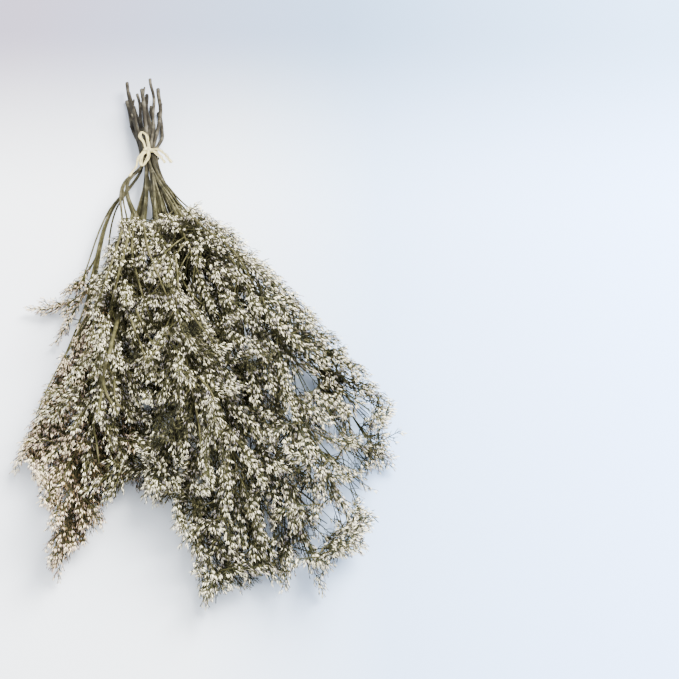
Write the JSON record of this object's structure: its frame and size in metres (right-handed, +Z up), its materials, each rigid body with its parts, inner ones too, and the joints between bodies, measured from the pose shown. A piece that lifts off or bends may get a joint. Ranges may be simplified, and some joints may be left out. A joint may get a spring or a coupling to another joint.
{
  "type": "dried statice bunch",
  "caption": "Bunch of dried statice, lying on its side: woody stems tied with raffia and spread into feathery sprays of small pale papery flowers.",
  "frame": {"origin": "middle of the bunch's footprint, on the surface that it lies on", "axes": "+Z up, cut ends towards +Y, flower heads towards -Y, +X to the right as seen from the heads"},
  "size_m": [0.347, 0.6086, 0.1019],
  "materials": {
    "dried_statice": "matt dried plant: olive-brown woody stems with papery cream and grey-lilac florets",
    "raffia": "matt natural raffia palm fibre, pale cream"
  },
  "bodies": {
    "root": {"flowering_stem_01": "dried_statice", "flowering_stem_02": "dried_statice", "flowering_stem_03": "dried_statice", "flowering_stem_04": "dried_statice", "flowering_stem_05": "dried_statice", "flowering_stem_06": "dried_statice", "flowering_stem_07": "dried_statice", "flowering_stem_08": "dried_statice", "flowering_stem_09": "dried_statice", "flowering_stem_10": "dried_statice", "flowering_stem_11": "dried_statice", "flowering_stem_12": "dried_statice", "raffia_tie": "raffia"}
  },
  "joints": []
}
